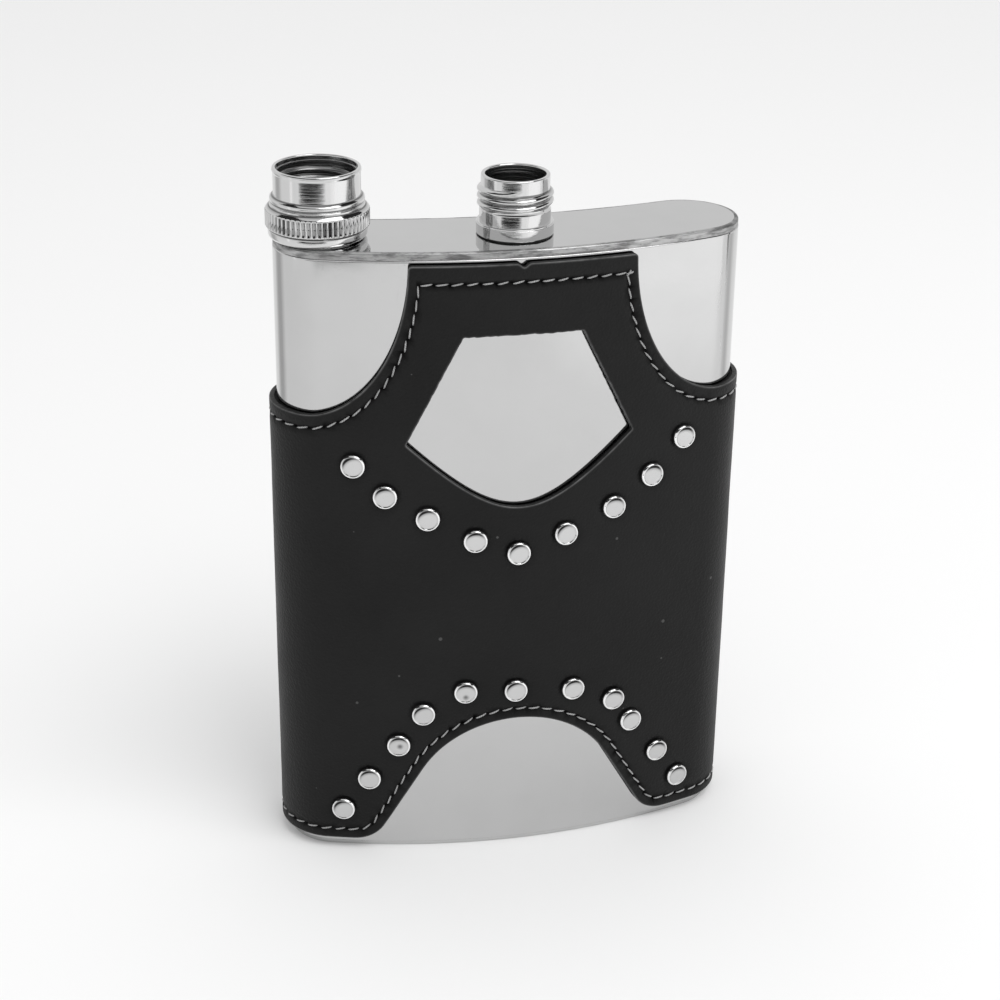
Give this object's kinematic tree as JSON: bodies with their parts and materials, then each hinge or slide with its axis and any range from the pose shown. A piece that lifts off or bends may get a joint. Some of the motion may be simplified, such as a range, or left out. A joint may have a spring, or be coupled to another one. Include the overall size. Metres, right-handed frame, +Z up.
{
  "type": "hip flask",
  "caption": "Curved steel hip flask in a studded, stitched black leather wrap, with its loose fluted screw cap standing upside down beside the threaded neck.",
  "frame": {"origin": "centre of the flask's underside, on the neck's axis", "axes": "+Z up through the neck, +X to the right when the convex front is looked at, -Y towards the front"},
  "size_m": [0.0958, 0.0306, 0.144],
  "materials": {
    "polished_steel": "mirror polished stainless steel, fine wiping marks",
    "cap_insert": "plain turned steel",
    "nickel_studs": "bright nickel plate",
    "black_leather": "smooth black leather with a fine grain, satin",
    "lining_leather": "plain black lining leather, dull",
    "thread": "waxed off-white sewing thread",
    "black_rubber": "black sealing rubber"
  },
  "bodies": {
    "flask": {"body_wall": "polished_steel", "bottom_plate": "polished_steel", "top_plate": "polished_steel", "threaded_neck": "polished_steel", "neck_collar": "polished_steel", "neck_washer": "black_rubber", "leather_wrap": "black_leather", "wrap_lining": "lining_leather", "upper_studs": "nickel_studs", "lower_studs": "nickel_studs", "upper_stud_backs": "nickel_studs", "lower_stud_backs": "nickel_studs", "top_stitching_front": "thread", "top_stitching_back": "thread", "bottom_stitching_front": "thread", "bottom_stitching_back": "thread", "seam_stitching": "thread"},
    "cap": {"cap_shell": "polished_steel", "cap_thread_sleeve": "cap_insert", "cap_grip_ring": "polished_steel", "cap_end_disc": "polished_steel", "cap_liner": "black_rubber"}
  },
  "joints": [
    {"name": "cap_lift", "type": "slide", "parent": "flask", "child": "cap", "axis": [0, 0, 1], "range_m": [0, 0.03]}
  ]
}
